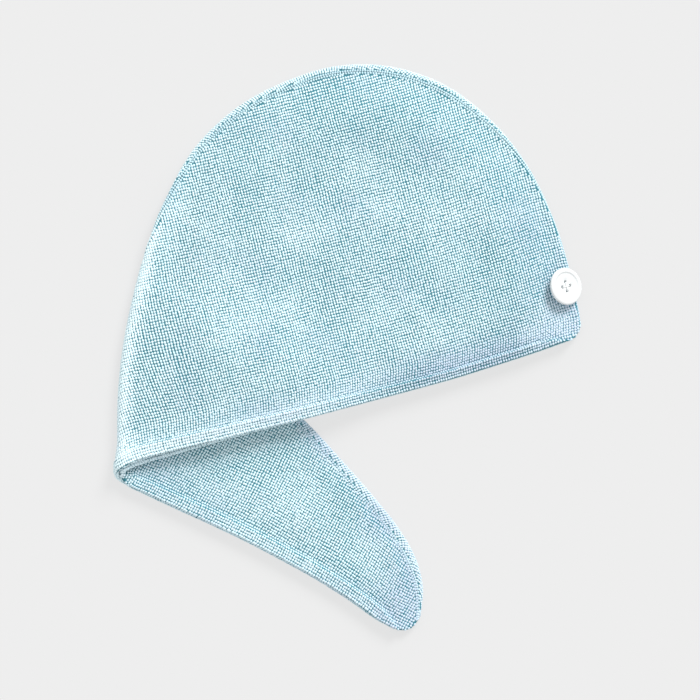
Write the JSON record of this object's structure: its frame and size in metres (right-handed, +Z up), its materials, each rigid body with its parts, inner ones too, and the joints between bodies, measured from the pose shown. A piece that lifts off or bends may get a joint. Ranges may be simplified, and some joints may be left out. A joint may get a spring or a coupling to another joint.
{
  "type": "hair turban towel",
  "caption": "Terry hair turban lying flat: a half-round hood open along its hem, with the long tail folded under it and a four-hole button at the corner.",
  "frame": {"origin": "on the floor, below the middle of the outline as the towel lies", "axes": "+Z up from the floor, +Y from the tail's tip towards the crown, +X towards the button"},
  "size_m": [0.3742, 0.4524, 0.0254],
  "materials": {
    "terry_upper": "microfibre terry loops, pale aqua",
    "terry_lower": "microfibre terry loops, pale aqua",
    "button": "white, softly polished",
    "thread": "white sewing thread"
  },
  "bodies": {
    "root": {"upper_panel": "terry_upper", "lower_panel": "terry_lower", "button": "button", "button_thread": "thread"}
  },
  "joints": []
}
